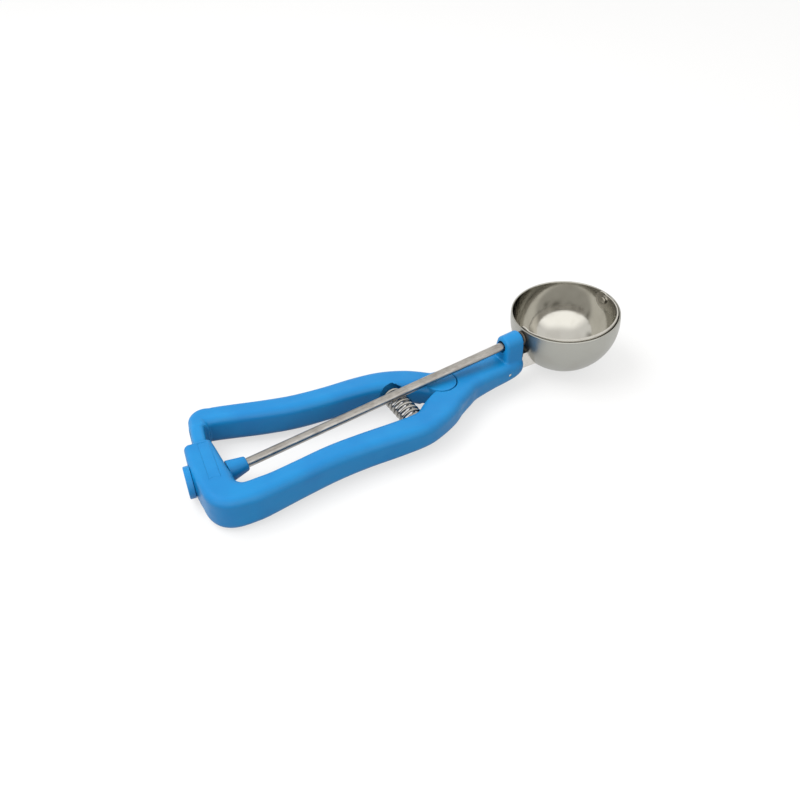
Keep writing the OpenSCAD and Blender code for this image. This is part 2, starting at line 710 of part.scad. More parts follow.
// The scraper is a strip of a ball shell from pole to pole with a round tab at each pole.
pivot_r = 1.2;
module scraper() {
    color(steel) on_rod(bowl_reach) rotate([-scraper_rest, 0, 0]) difference() {
        intersection() {
            difference() {
                sphere(scraper_out, $fn = bowl_fn);
                sphere(scraper_in, $fn = bowl_fn);
            }
            union() {
                translate([-bowl_r, -bowl_r, -scraper_w / 2]) cube([bowl_d, bowl_r, scraper_w]);
                rotate([0, 90, 0])
                    cylinder(h = bowl_d, r = scraper_tab_r, center = true, $fn = round_fn);
            }
        }
        rotate([0, -90, 0]) cylinder(h = bowl_r, r = rod_r + press_gap, $fn = round_fn);
        rotate([0, 90, 0]) cylinder(h = bowl_r, r = pivot_r + run_gap, $fn = round_fn);
    }
}

module scraper_hub() {
    color(steel) difference() {
        rod_bar(hub_back, hub_back + hub_t, hub_r, hub_r - 0.5);
        rod_bar(hub_back - 1, hub_back + hub_t + 1, rod_r + press_gap);
    }
}

module thrust_washer() {
    color(dark_steel) difference() {
        rod_bar(washer_from, washer_to, lug_r - 1.7);
        rod_bar(washer_from - 1, washer_to + 1, rod_r + press_gap);
    }
}

module tip_pivot() {
    inner_head = bowl_reach + sqrt(pow(scraper_in, 2) - pow(2 * pivot_r, 2)) - slide_gap;
    color(steel) {
        rod_bar(inner_head - 0.7, bowl_reach + bowl_r + 0.8, pivot_r);
        rod_bar(inner_head - 0.7, inner_head, 1.9 * pivot_r);
        rod_bar(bowl_reach + bowl_r + press_gap, bowl_reach + bowl_r + 0.8, 1.9 * pivot_r,
                1.4 * pivot_r);
    }
}

handle_frame();
lever_arm();
gear_rack();
hinge_pin();
return_spring();
drive_rod();
pinion();
pinion_pin();
rod_collar();
rear_button();
sleeve_cover();
bowl();
bowl_shank();
shank_pin();
scraper();
scraper_hub();
thrust_washer();
tip_pivot();
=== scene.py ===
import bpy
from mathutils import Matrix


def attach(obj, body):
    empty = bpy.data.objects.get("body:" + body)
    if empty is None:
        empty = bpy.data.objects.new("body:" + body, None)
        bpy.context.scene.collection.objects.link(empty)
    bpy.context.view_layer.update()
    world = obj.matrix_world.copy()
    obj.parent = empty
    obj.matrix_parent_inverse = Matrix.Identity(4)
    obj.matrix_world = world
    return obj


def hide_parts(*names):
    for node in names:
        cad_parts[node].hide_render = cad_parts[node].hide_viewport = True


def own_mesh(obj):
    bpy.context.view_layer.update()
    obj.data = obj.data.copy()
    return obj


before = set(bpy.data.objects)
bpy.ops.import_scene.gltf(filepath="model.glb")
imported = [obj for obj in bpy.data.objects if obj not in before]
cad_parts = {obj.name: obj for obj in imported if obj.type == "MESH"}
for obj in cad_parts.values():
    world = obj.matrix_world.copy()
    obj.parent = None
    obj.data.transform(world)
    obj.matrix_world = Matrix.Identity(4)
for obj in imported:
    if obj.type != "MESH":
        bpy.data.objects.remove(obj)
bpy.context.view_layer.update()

import math

import bmesh
import bpy
import numpy as np
from mathutils import Matrix, Vector

# ---- Camera -------------------------------------------------------------------------------
# The camera stands in front of the near arm, to the left, and looks down on the scoop. Its
# place, turn and lens were solved from the bowl's rim and the arms' outlines.
mm = 0.001
scene = bpy.context.scene
camera_azimuth = math.radians(-31.15)
camera_elevation = math.radians(39.38)
camera_roll = math.radians(0.35)
camera_place = Vector((-45.3, -234.1, 239.2)) * mm
photo_width_px = 800
photo_focal_px = 720
sensor_width = 36

backward = Vector((math.sin(camera_azimuth) * math.cos(camera_elevation),
                   -math.cos(camera_azimuth) * math.cos(camera_elevation),
                   math.sin(camera_elevation)))
level_right = Vector((math.cos(camera_azimuth), math.sin(camera_azimuth), 0))
level_up = backward.cross(level_right)
right = math.cos(camera_roll) * level_right + math.sin(camera_roll) * level_up
up = math.cos(camera_roll) * level_up - math.sin(camera_roll) * level_right

camera = bpy.data.objects.new("camera", bpy.data.cameras.new("camera"))
camera.data.sensor_width = sensor_width
camera.data.lens = sensor_width * photo_focal_px / photo_width_px
camera.data.clip_start = 0.01
camera.matrix_world = Matrix.Translation(camera_place) @ Matrix(
    (right, up, backward)).transposed().to_4x4()
scene.collection.objects.link(camera)
scene.camera = camera
scene.view_settings.view_transform = "Standard"


# ---- Studio -------------------------------------------------------------------------------
# A white table in a white tent, lit evenly, with a brighter side to the left of the camera.
# The polished bowl mirrors it several times over, a little darker and warmer each time.
class Wire:
    """One output of a node. Python's operators on it add the Math or Vector Math nodes."""

    def __init__(self, shading, socket):
        self.shading = shading
        self.socket = socket

    def sum(self, operation, first, second):
        is_vector = any(isinstance(one, Wire) and one.socket.type == "VECTOR"
                        for one in (first, second))
        kind = "ShaderNodeVectorMath" if is_vector else "ShaderNodeMath"
        if is_vector:
            first, second = (one if isinstance(one, (Wire, tuple)) else (one, one, one)
                             for one in (first, second))
        return self.shading.node(kind, {"operation": operation}, {0: first, 1: second})

    def __add__(self, other):
        return self.sum("ADD", self, other)

    def __radd__(self, other):
        return self.sum("ADD", other, self)

    def __sub__(self, other):
        return self.sum("SUBTRACT", self, other)

    def __rsub__(self, other):
        return self.sum("SUBTRACT", other, self)

    def __mul__(self, other):
        return self.sum("MULTIPLY", self, other)

    def __rmul__(self, other):
        return self.sum("MULTIPLY", other, self)

    def __truediv__(self, other):
        return self.sum("DIVIDE", self, other)

    def __rtruediv__(self, other):
        return self.sum("DIVIDE", other, self)

    def beside(self, name):
        """Another output of the same node."""
        return Wire(self.shading, self.socket.node.outputs[name])

    def ramp(self, low, high, start=0.0, end=1.0):
        """Goes smoothly from start to end while this value goes from low to high."""
        return self.shading.node("ShaderNodeMapRange", {"interpolation_type": "SMOOTHSTEP"},
                                 {0: self, 1: low, 2: high, 3: start, 4: end})


class Shading:
    """The nodes of one finish, or of the studio."""

    def __init__(self, tree):
        self.tree = tree

    def feed(self, socket, value):
        if isinstance(value, Wire):
            self.tree.links.new(value.socket, socket)
        else:
            socket.default_value = value

    def node(self, kind, settings={}, inputs={}, output=0):
        made = self.tree.nodes.new(kind)
        for name, value in settings.items():
            if name == "stops":
                while len(made.color_ramp.elements) < len(value):
                    made.color_ramp.elements.new(1.0)
                for element, (place, colour) in zip(made.color_ramp.elements, value):
                    element.position = place
                    element.color = colour
            else:
                setattr(made, name, value)
        for name, value in inputs.items():
            self.feed(made.inputs[name], value)
        return Wire(self, made.outputs[output])

    def mix(self, share, first, second):
        """A colour that goes from first to second as share goes from 0 to 1."""
        return self.node("ShaderNodeMix", {"data_type": "RGBA"}, {0: share, 6: first, 7: second},
                         output=2)

    def place(self):
        """The point on the surface, in metres."""
        return self.node("ShaderNodeTexCoord", output="Object")

    def noise(self, size, detail=3, stretch=(1, 1, 1), roughness=0.5):
        """Noise whose blotches are about size metres across."""
        spot = self.place() * tuple(along / size for along in stretch)
        return self.node("ShaderNodeTexNoise", {}, {"Vector": spot, "Scale": 1.0,
                                                    "Detail": detail, "Roughness": roughness})

    def bump(self, height, depth, strength=1.0, over=None):
        """A bump whose height of 1 is depth metres."""
        inputs = {"Height": height, "Distance": depth, "Strength": strength}
        if over:
            inputs["Normal"] = over
        return self.node("ShaderNodeBump", {}, inputs)


class Finish(Shading):
    """A surface finish on the standard shader."""

    def __init__(self, name):
        self.material = bpy.data.materials.new(name)
        self.material.use_nodes = True
        super().__init__(self.material.node_tree)
        self.shader = self.tree.nodes["Principled BSDF"]

    def set(self, **values):
        """Base_Color=... sets or links the shader's Base Color."""
        for name, value in values.items():
            self.feed(self.shader.inputs[name.replace("_", " ")], value)
        return self.material


def grey(level, alpha=1.0):
    return (level, level, level, alpha)


room = bpy.data.worlds.new("room")
room.use_nodes = True
scene.world = room
walls = Shading(room.node_tree)
tent_white = (1.0, 0.99, 0.97, 1.0)
tent_shade = (0.36, 0.35, 0.32, 1.0)
tent_strength = 1.17
bright_side = math.radians(-125)
bright_strength = 0.72

look = walls.node("ShaderNodeTexCoord", output="Generated")
height = walls.node("ShaderNodeSeparateXYZ", {}, {0: look}, output="Z")
towards = walls.node("ShaderNodeVectorMath", {"operation": "DOT_PRODUCT"},
                     {0: look, 1: (math.cos(bright_side), math.sin(bright_side), 0)},
                     output="Value")
folds = walls.node("ShaderNodeTexNoise", {},
                   {"Vector": look * (1, 1, 0.3), "Scale": 2.6, "Detail": 1.0})
side_glow = towards.ramp(0.30, 0.62) * height.ramp(0.95, 0.70)
in_folds = (1 - folds.ramp(0.40, 0.56)) * height.ramp(0.75, 0.50) * (1 - side_glow)
cloth = walls.mix(in_folds, tent_white, tent_shade)
background = room.node_tree.nodes["Background"]
in_sight = walls.node("ShaderNodeLightPath", output="Is Camera Ray")
walls.feed(background.inputs["Color"], walls.mix(in_sight, cloth, grey(1.0)))
walls.feed(background.inputs["Strength"],
           in_sight + (1 - in_sight) * (tent_strength + bright_strength * side_glow))

key_light = bpy.data.objects.new("key_light", bpy.data.lights.new("key_light", "AREA"))
key_light.data.shape = "RECTANGLE"
key_light.data.size = 0.9
key_light.data.size_y = 0.6
key_light.data.energy = 11.5
key_light.location = (-0.35, 0.30, 0.95)
key_light.rotation_euler = (Vector((0.08, 0, 0)) - key_light.location).to_track_quat(
    "-Z", "Y").to_euler()
key_light.visible_glossy = False
scene.collection.objects.link(key_light)

floor_mesh = bpy.data.meshes.new("floor")
floor_half = 6
table_glow = 0.64
floor_mesh.from_pydata([(-floor_half, -floor_half, 0), (floor_half, -floor_half, 0),
                        (floor_half, floor_half, 0), (-floor_half, floor_half, 0)],
                       [], [(0, 1, 2, 3)])
floor = bpy.data.objects.new("floor", floor_mesh)
scene.collection.objects.link(floor)
table_top = Finish("table_top")
floor_mesh.materials.append(table_top.set(
    Base_Color=grey(0.22), Roughness=0.9, Specular_IOR_Level=0.1))
straight = table_top.node("ShaderNodeLightPath", output="Is Camera Ray")
seen = straight + straight.beside("Is Glossy Ray") + straight.beside("Is Transmission Ray")
table_top.set(Emission_Color=table_top.mix(seen, grey(0.0), grey(table_glow)),
              Emission_Strength=1.0)

# ---- Blue moulding ------------------------------------------------------------------------
# The fixed moulding: sleeve, near corner, near arm, neck and lug in one shot of satin blue
# plastic. Its skin has the mould's fine spark texture, and hands have polished its edges.
blue = (0.002, 0.158, 0.385, 1.0)
blue_deep = (0.001, 0.140, 0.360, 1.0)
blue_worn = (0.012, 0.205, 0.450, 1.0)


def blue_plastic(name, worn=1.0):
    finish = Finish(name)
    cloud = finish.noise(18 * mm, detail=2)
    skin = finish.noise(0.35 * mm, detail=4, roughness=0.6)
    rubs = finish.noise(6 * mm, detail=5, stretch=(0.35, 1, 1))
    scratches = finish.noise(0.5 * mm, detail=2, stretch=(0.05, 1, 1))
    colour = finish.mix(cloud.ramp(0.35, 0.65), blue_deep, blue)
    edge = finish.node("ShaderNodeNewGeometry", output="Pointiness").ramp(0.51, 0.60)
    colour = finish.mix(edge * rubs.ramp(0.35, 0.7) * (0.6 * worn), colour, blue_worn)
    roughness = 0.40 + 0.10 * rubs.ramp(0.4, 0.7) - 0.06 * scratches.ramp(0.6, 0.75)
    grain = finish.bump(skin, 0.02 * mm, 0.5)
    return finish.set(Base_Color=colour, Roughness=roughness, IOR=1.5, Coat_Weight=0.0,
                      Specular_IOR_Level=0.34,
                      Normal=finish.bump(cloud, 0.10 * mm, 0.25, over=grain))


def catmull(a, b, c, d, t):
    """A smooth curve from b to c, with a and d its neighbours."""
    return 0.5 * (2 * b + (c - a) * t + (2 * a - 5 * b + 4 * c - d) * t ** 2
                  + (3 * b - a - 3 * c + d) * t ** 3)


def loft(stations, steps=10, corner_steps=9):
    """Points and faces of an arm through stations [x, y, half width, base, top, rounding]."""
    line = np.array(stations, float)
    padded = np.vstack([line[:1], line, line[-1:]])
    smooth = [catmull(*padded[i:i + 4], t) for i in range(len(line) - 1)
              for t in np.arange(steps) / steps] + [line[-1]]
    points = []
    for i, (x, y, half, base, top, rounding) in enumerate(smooth):
        ahead = smooth[min(i + 1, len(smooth) - 1)][:2] - smooth[max(i - 1, 0)][:2]
        ahead = ahead / np.linalg.norm(ahead)
        r = min(rounding, half - 0.01, (top - base) / 2 - 0.01)
        for quarter in range(4):
            for step in range(corner_steps + 1):
                a = math.pi / 2 * (quarter + step / corner_steps)
                side = (half - r) * (1 if quarter in (0, 3) else -1) + r * math.cos(a)
                rise = (top - r if quarter < 2 else base + r) + r * math.sin(a)
                points.append((x - ahead[1] * side, y + ahead[0] * side, rise))
    around = 4 * (corner_steps + 1)
    last = (len(smooth) - 1) * around
    faces = [(i * around + j, i * around + (j + 1) % around,
              (i + 1) * around + (j + 1) % around, (i + 1) * around + j)
             for i in range(len(smooth) - 1) for j in range(around)]
    faces += [tuple(range(around - 1, -1, -1)), tuple(range(last, last + around))]
    return points, faces


def solid(name, points, faces):
    """A closed object from points in millimetres, with its faces turned outwards."""
    mesh = bpy.data.meshes.new(name)
    mesh.from_pydata([tuple(c * mm for c in point) for point in points], [], faces)
    shape = bmesh.new()
    shape.from_mesh(mesh)
    bmesh.ops.remove_doubles(shape, verts=shape.verts, dist=1e-7)
    bmesh.ops.recalc_face_normals(shape, faces=shape.faces)
    shape.to_mesh(mesh)
    shape.free()
    made = bpy.data.objects.new(name, mesh)
    scene.collection.objects.link(made)
    return made


def turned(name, profile, place, axis, sides=96):
    """A lathe shape. The profile is (distance along the axis, radius) in millimetres."""
    turn = Vector((0, 0, 1)).rotation_difference(Vector(axis)).to_matrix()
    points, faces = [], []
    count = len(profile)
    closed = profile[0][1] > 0
    for k in range(sides):
        a = 2 * math.pi * k / sides
        for along_axis, r in profile:
            points.append(turn @ Vector((r * math.cos(a), r * math.sin(a), along_axis))
                          + Vector(place))
    for k in range(sides):
        here, there = k * count, (k + 1) % sides * count
        for i in range(count if closed else count - 1):
            j = (i + 1) % count
            faces.append((here + i, there + i, there + j, here + j))
    return solid(name, points, faces)


def extruded(name, outline, base, top):
    """A flat-sided block over an outline of (x, y)."""
    count = len(outline)
    points = [(x, y, z) for z in (base, top) for x, y in outline]
    faces = [tuple(range(count - 1, -1, -1)), tuple(range(count, 2 * count))]
    faces += [(i, (i + 1) % count, (i + 1) % count + count, i + count) for i in range(count)]
    return solid(name, points, faces)


def baked(made):
    """Applies the object's modifiers."""
    bpy.context.view_layer.update()
    shaped = bpy.data.meshes.new_from_object(
        made.evaluated_get(bpy.context.evaluated_depsgraph_get()))
    made.modifiers.clear()
    made.data = shaped
    return made


def carve(made, operation, *tools):
    """Joins tools to the object, or cuts them out of it, and uses them up."""
    for tool in tools:
        cut = made.modifiers.new("cut", "BOOLEAN")
        cut.operation = operation
        cut.solver = "EXACT"
        cut.object = tool
        baked(made)
        bpy.data.objects.remove(tool)
    return made


def soften(made, cell, passes):
    """Rounds every edge a little, as a mould does, by remeshing with cells of that size."""
    remesh = made.modifiers.new("skin", "REMESH")
    remesh.mode = "VOXEL"
    remesh.voxel_size = cell * mm
    ease = made.modifiers.new("ease", "SMOOTH")
    ease.factor = 0.5
    ease.iterations = passes
    return baked(made)


def finished(made, material, body, slot, *nodes, crease=None):
    """Gives a piece its material and body, and hides the CAD nodes that it stands for. The slot is
    not used.
    """
    made.data.materials.clear()
    made.data.materials.append(material)
    made.data.shade_smooth()
    if crease:
        made.data.set_sharp_from_angle(angle=math.radians(crease))
    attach(made, body)
    if nodes:
        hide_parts(*nodes)
    return made


rod_height = 10
bowl_reach = 200
bowl_r = 28.8
rod_sine = (bowl_r - rod_height) / bowl_reach
rod_axis = Vector((math.sqrt(1 - rod_sine ** 2), 0, rod_sine))


def on_rod(distance):
    """The point on the rod's line, that far from the middle of the sleeve."""
    return Vector((0, 0, rod_height)) + rod_axis * distance


def bar(name, start, end, r, sides=64):
    """A round bar along the rod's line, to cut with."""
    return turned(name, [(0, 0), (0, r), (end - start, r), (end - start, 0)],
                  on_rod(start), rod_axis, sides)


def post(name, x, y, base, top, r, sides=96):
    """A round upright, to cut or join with."""
    return turned(name, [(base, 0), (base, r), (top, r), (top, 0)], (x, y, 0), (0, 0, 1), sides)


def ring_sector(name, near_y, far_y, inner, outer, base, top, steps=40):
    """Part of a ring about the hinge, from one distance across to another."""
    start, end = (math.asin(y / hinge_x) for y in (near_y, far_y))
    angles = [start + (end - start) * i / steps for i in range(steps + 1)]
    outline = [(hinge_x - outer * math.cos(a), outer * math.sin(a)) for a in angles]
    outline += [(hinge_x - inner * math.cos(a), inner * math.sin(a)) for a in reversed(angles)]
    return extruded(name, outline, base, top)


def rounded_section(low, high, base, top, rounding):
    """The corners of an upright section with rounded edges, as (across, height)."""
    section = []
    for quarter in range(4):
        for step in range(9):
            a = math.pi / 2 * (quarter + step / 8)
            section.append(((high - rounding if quarter in (0, 3) else low + rounding)
                            + rounding * math.cos(a),
                            (top - rounding if quarter < 2 else base + rounding)
                            + rounding * math.sin(a)))
    return section


def rounded_sector(name, near_y, far_y, inner, outer, base, top, rounding):
    """Part of a ring about the hinge, with its long edges rounded."""
    start, end = (math.asin(y / hinge_x) for y in (near_y, far_y))
    section = rounded_section(inner, outer, base, top, rounding)
    around = len(section)
    steps = 24
    points = []
    for i in range(steps + 1):
        turn = start + (end - start) * i / steps
        points += [(hinge_x - r * math.cos(turn), r * math.sin(turn), z) for r, z in section]
    faces = [(i * around + j, i * around + (j + 1) % around,
              (i + 1) * around + (j + 1) % around, (i + 1) * around + j)
             for i in range(steps) for j in range(around)]
    faces += [tuple(range(around - 1, -1, -1)),
              tuple(range(steps * around, (steps + 1) * around))]
    return solid(name, points, faces)


hinge_x = 120
knuckle_r = 8
sleeve_top = 18.6
sleeve_mouth = 17
neck_top = 17.4
floor_z = 6.6
arm_round = 4.2
rod_bore_r = 2.31
spring_pocket_r = 5.9
nose_x = 168.4
lug_len = 11
near_arm = [
    [-0.35, 17, 6.3, 0.4, 18.6, 2.8], [-0.7, 11, 6.9, 0.4, 18.6, 3],
    [-1.1, 4, 7.4, 0.4, 18.6, 3], [-1.1, -3, 7.5, 0.4, 18.6, 3],
    [-0.1, -8, 6.9, 0.4, 18.6, 3.2], [0.3, -12, 6.4, 0.4, 18.6, 3.6],
    [1.5, -15.6, 6.2, 0.4, 18.6, 3.8], [3.7, -18.5, 6.2, 0.6, 18.6, arm_round],
    [6.8, -20.6, 6.2, 0.8, 18.6, arm_round], [10.5, -21.4, 6.3, 1, 18.6, arm_round],
    [15, -21.4, 6.3, 1.2, 18.5, arm_round], [22, -21.1, 6, 1.5, 18.4, arm_round],
    [34, -20, 6, 1.9, 18.3, arm_round], [50, -18.8, 6.3, 2.5, 18.2, arm_round],
    [66, -19, 6.5, 3, 18, arm_round], [82, -20.1, 6.9, 3.5, 17.8, arm_round],
    [95, -20.4, 7.2, 3.9, 17.6, arm_round], [103, -18.5, 7.6, 4.2, 17.4, arm_round],
    [111, -14, 9, 4.2, 17.4, arm_round], [117.5, -8.9, 10, 4.2, 17.4, arm_round],
    [124.8, -4.4, 10.7, 4.2, 17.4, arm_round], [131.9, -1.7, 10.2, 4.2, 17.4, arm_round],
    [139.8, -0.8, 9.5, 4.5, 17.4, arm_round], [149, -0.2, 9, 5, 17.4, arm_round],
    [157, 0, 8.8, 5.6, 17.4, arm_round], [163.1, 0, 8.3, 6.4, 17.4, arm_round],
    [166.8, 0, 7.4, 7.4, 17.4, arm_round], [168.4, 0, 6, 8.8, 16.2, 3.2],
]
corner_strip = [
    [-2.5, 0.8, 4.9, 1, 18, 3], [-3.1, -3.1, 5.5, 0.4, 18.6, 3], [-3.1, -8, 5.5, 0.4, 18.6, 3.2],
    [-3.1, -13.1, 5.5, 0.4, 18.6, 3.6], [-2.4, -16.4, 5.5, 0.4, 18.6, 3.8],
    [-0.7, -19, 5.5, 0.4, 18.6, 3.9], [2.3, -20.8, 5.5, 0.6, 18.6, 3.9],
    [7, -21.7, 5.5, 0.8, 18.6, 3.9], [12.9, -21.9, 5.5, 1.1, 18.5, 3.9],
    [18.8, -21.1, 5.1, 2, 17.9, 3.5],
]
swing_zone = [(94, -10.6), (104, -9.6), (113.6, -5.6), (120, 0), (126.6, 5.6), (132, 16),
              (94, 30)]

button_turn = math.radians(8)
button_axis = (-math.cos(button_turn), math.sin(button_turn), 0)
button_place = Vector((-8.5, 2.6, 10.2))


def cover_outline(grow):
    """The cover's slanted strip, whose near end is hollow."""
    half_width, half_length, hollow_r = 2.5 + grow, 12.2 + grow, 4 - grow
    hollow = [(x, hollow_r * math.sqrt(1 - (x / hollow_r) ** 2) - 15.2)
              for x in np.linspace(-half_width, half_width, 17)]
    slant = math.radians(-6.8)
    return [(0.5 + x * math.cos(slant) - y * math.sin(slant),
             3.2 + x * math.sin(slant) + y * math.cos(slant))
            for x, y in [(half_width, half_length), (-half_width, half_length)] + hollow]


moulding = solid("moulding", *loft(near_arm))
lug_start = (nose_x - lug_len) / rod_axis.x
lug = turned("lug", [(0.1, 0), (0.1, 3.4), (0.45, 4.4), (1.2, 5.15), (10, 5.15), (10.6, 4.7),
                     (10.9, 3.8), (10.9, 0)], on_rod(lug_start), rod_axis)
lug_foot = extruded("lug_foot", [(156.6, -5.8), (157.6, -6.7), (166.8, -6.7), (167.4, -5.8),
                                 (167.4, 5.8), (166.8, 6.7), (157.6, 6.7), (156.6, 5.8)], 12, 13.6)
lug_shape = bmesh.new()
for member in (lug, lug_foot):
    for vertex in member.data.vertices:
        lug_shape.verts.new(vertex.co)
wrapped = bmesh.ops.convex_hull(lug_shape, input=lug_shape.verts)
inner_points = {g for g in wrapped["geom_interior"] + wrapped["geom_unused"]
                if isinstance(g, bmesh.types.BMVert)}
bmesh.ops.delete(lug_shape, geom=list(inner_points), context="VERTS")
lug_shape.to_mesh(lug.data)
lug_shape.free()
bpy.data.objects.remove(lug_foot)
carve(moulding, "UNION", solid("corner_strip", *loft(corner_strip)), lug,
      turned("boss", [(-4, 0), (-4, 6.9), (0, 6.9), (0, 0)], button_place, button_axis))
carve(moulding, "DIFFERENCE",
      ring_sector("cavity", -15.8, sleeve_mouth + 4, 116.7, 123.7, 1.8, 17.2),
      post("socket", hinge_x, 0, floor_z, 40, knuckle_r + 0.45),
      extruded("swing", swing_zone, floor_z + 0.01, 41))
below = extruded("below", swing_zone, -1, floor_z + 1)
carve(below, "DIFFERENCE", post("floor_disc", hinge_x, 0, -2, 40, knuckle_r + 2.4))
carve(moulding, "DIFFERENCE", below)
skin_cell = 0.40
soften(moulding, skin_cell, 5)
carve(moulding, "DIFFERENCE",
      turned("spring_pocket", [(0, 0), (0, spring_pocket_r), (8, spring_pocket_r), (8, 0)],
             (97, -15.1, 10.6), (0, 1, 0)),
      extruded("shank_slot", [(152.4, -4.01), (180, -4.01), (180, 4.01), (152.4, 4.01)],
               8.59, 16.61),
      extruded("cover_pocket", cover_outline(0.06), 17.9, 30),
      bar("back_bore", -6, 7.3, rod_bore_r), bar("lug_bore", 153, 173, rod_bore_r),
      bar("lug_mouth", 153, 159.8, 3.15), post("pin_bore", hinge_x, 0, 0, 30, 1.61),
      turned("spot_face", [(-0.01, 0), (-0.01, 7.7), (2.8, 7.7), (2.8, 0)], button_place,
             button_axis),
      turned("button_seat", [(-1.4, 0), (-1.4, 5.01), (1, 5.01), (1, 0)], button_place,
             button_axis),
      turned("cross_bore", [(0, 0), (0, 1.01), (30, 1.01), (30, 0)], (158, -15, 11.4),
             (0, 1, 0)))
finished(moulding, blue_plastic("blue_moulding"), "frame", "blue_plastic", "handle_frame",
         crease=40)

# ---- Lever arm ----------------------------------------------------------------------------
# The moving moulding: a knuckle in the neck's round socket, the far arm, a round outer corner
# and a tongue that slides into the sleeve. Same satin blue plastic.
far_arm = [
    [120, 0, 7.7, 4.4, 17.2, arm_round], [113.3, 6.5, 7.7, 4.2, 17.3, arm_round],
    [105.9, 12.5, 7.4, 4.2, 17.4, arm_round], [95, 17.2, 7.2, 3.9, 17.6, arm_round],
    [82, 19.4, 6.9, 3.5, 17.8, arm_round], [66, 20.7, 6.4, 3, 18, arm_round],
    [50, 22.9, 6.2, 2.5, 18.1, arm_round], [36, 26.9, 6.1, 2.1, 18, arm_round],
    [24, 31.2, 6, 1.9, 17.8, arm_round], [16, 34.2, 6, 1.8, 17.5, arm_round],
    [11.5, 35.6, 6, 1.83, 17.27, arm_round], [7.5, 36.4, 5.7, 1.86, 17.24, arm_round],
]
corner_place = (9, 34)
corner_r = 8.2
corner_round = 3.8
shoulder_y = 29.6
tongue_base = 2.1
tongue_top = 16.9

lever = solid("lever", *loft(far_arm))
corner = turned("corner", [(1.8, 0)]
                + [(5.6 - corner_round * math.cos(a), corner_r - corner_round * (1 - math.sin(a)))
                   for a in np.linspace(0, math.pi / 2, 9)]
                + [(13.5 + corner_round * math.sin(a), corner_r - corner_round * (1 - math.cos(a)))
                   for a in np.linspace(0, math.pi / 2, 9)] + [(17.3, 0)],
                (*corner_place, 0), (0, 0, 1))
corner_turn = math.asin(shoulder_y / hinge_x)
inwards = Vector((-math.sin(corner_turn), -math.cos(corner_turn)))
across = Vector((math.cos(corner_turn), -math.sin(corner_turn)))


def beside_corner(side, back):
    """A place by the corner, to its side and back towards the tongue."""
    return Vector(corner_place) + across * side + inwards * back


carve(corner, "DIFFERENCE", extruded("inner_half", [
    beside_corner(-15, -0.05), beside_corner(15, -0.05), beside_corner(15, 15),
    beside_corner(-15, 15)], -1, 30))
section = rounded_section(0.02 - corner_r, 1, 1.82, 17.28, corner_round)
around = len(section)
neck_points = [(*beside_corner(side, back), z) for back in (-0.5, corner_r) for side, z in section]
neck_faces = [(j, (j + 1) % around, (j + 1) % around + around, j + around)
              for j in range(around)]
neck_faces += [tuple(range(around)), tuple(range(around, 2 * around))]
corner_neck = solid("corner_neck", neck_points, neck_faces)
carve(lever, "UNION", corner, corner_neck)
carve(lever, "DIFFERENCE", ring_sector("mouth_room", 0, shoulder_y, 114.7, 132, -1, 30))
tongue = rounded_sector("tongue", -3, corner_place[1], 117, 123.4, tongue_base, tongue_top, 2)
carve(lever, "UNION", tongue, post("knuckle", hinge_x, 0, 6, neck_top, knuckle_r))
carve(lever, "DIFFERENCE",
      ring_sector("rack_room", -5, 17.2, 110, 130, 4.5, 30),
      post("floor_room", hinge_x, 0, -1, 6.9, knuckle_r + 2.7),
      turned("far_pocket", [(0, 0), (0, 6.3), (8.5, 6.3), (8.5, 0)], (97.45, 3.2, 10.6),
             (0, 1, 0)))
soften(lever, skin_cell, 4)
carve(lever, "DIFFERENCE", post("pin_room", hinge_x, 0, 0, 14.7, 1.66))
finished(lever, blue_plastic("blue_lever"), "lever", "blue_plastic", "lever_arm", crease=40)

# ---- Sleeve cover, collar and button ------------------------------------------------------
# Small mouldings in the same plastic: the plate let into the sleeve's top, the cone on the
# rod where it leaves the sleeve, and the round button on the back.
cover = extruded("cover", cover_outline(0), 17.92, sleeve_top)
cover_edge = cover.modifiers.new("edge", "BEVEL")
cover_edge.width = 0.10 * mm
cover_edge.segments = 3
cover_edge.limit_method = "ANGLE"
cover_edge.angle_limit = math.radians(40)
baked(cover)
finished(cover, blue_plastic("blue_cover"), "frame", "blue_plastic", "sleeve_cover", crease=40)

collar_from = 7.25
collar = turned("collar", [(0, 2.26), (0, 4.8), (0.25, 5.05), (0.7, 5.0), (8.1, 3.5),
                           (8.55, 3.3), (8.8, 3.0), (8.8, 2.6), (8.5, 2.26)],
                on_rod(collar_from), rod_axis)
finished(collar, blue_plastic("blue_collar"), "rod", "blue_plastic", "rod_collar", crease=40)

button = turned("button", [(-1.3, 0), (-1.3, 5), (0, 5), (0, 7.2), (0.12, 7.38), (2.25, 7.38),
                           (2.6, 7.25), (2.8, 6.9), (2.8, 6.4), (2.62, 6.2), (2.55, 5.8),
                           (2.6, 3), (2.66, 0)], button_place, button_axis)
finished(button, blue_plastic("blue_button"), "frame", "blue_plastic", "rear_button", crease=40)

# ---- Rod ----------------------------------------------------------------------------------
# Ground stainless bar, with fine lengthwise rubs and soft stains.
steel_light = (0.42, 0.405, 0.38, 1.0)
steel_dull = (0.22, 0.20, 0.18, 1.0)


def rubbed_steel(name, along=(1, 1, 1), light=steel_light, dull=steel_dull, roughness=0.26,
                 depth=0.01):
    """Stainless steel with rubs that run along one direction."""
    finish = Finish(name)
    rubs = finish.noise(0.25 * mm, detail=4, stretch=along)
    stains = finish.noise(7 * mm, detail=3)
    colour = finish.mix(rubs.ramp(0.35, 0.7) * 0.5 + stains.ramp(0.4, 0.7) * 0.4, light, dull)
    return finish.set(Base_Color=colour, Metallic=1.0,
                      Roughness=roughness + 0.10 * rubs.ramp(0.4, 0.7) + 0.05 * stains,
                      Normal=finish.bump(rubs, depth * mm, 0.5))


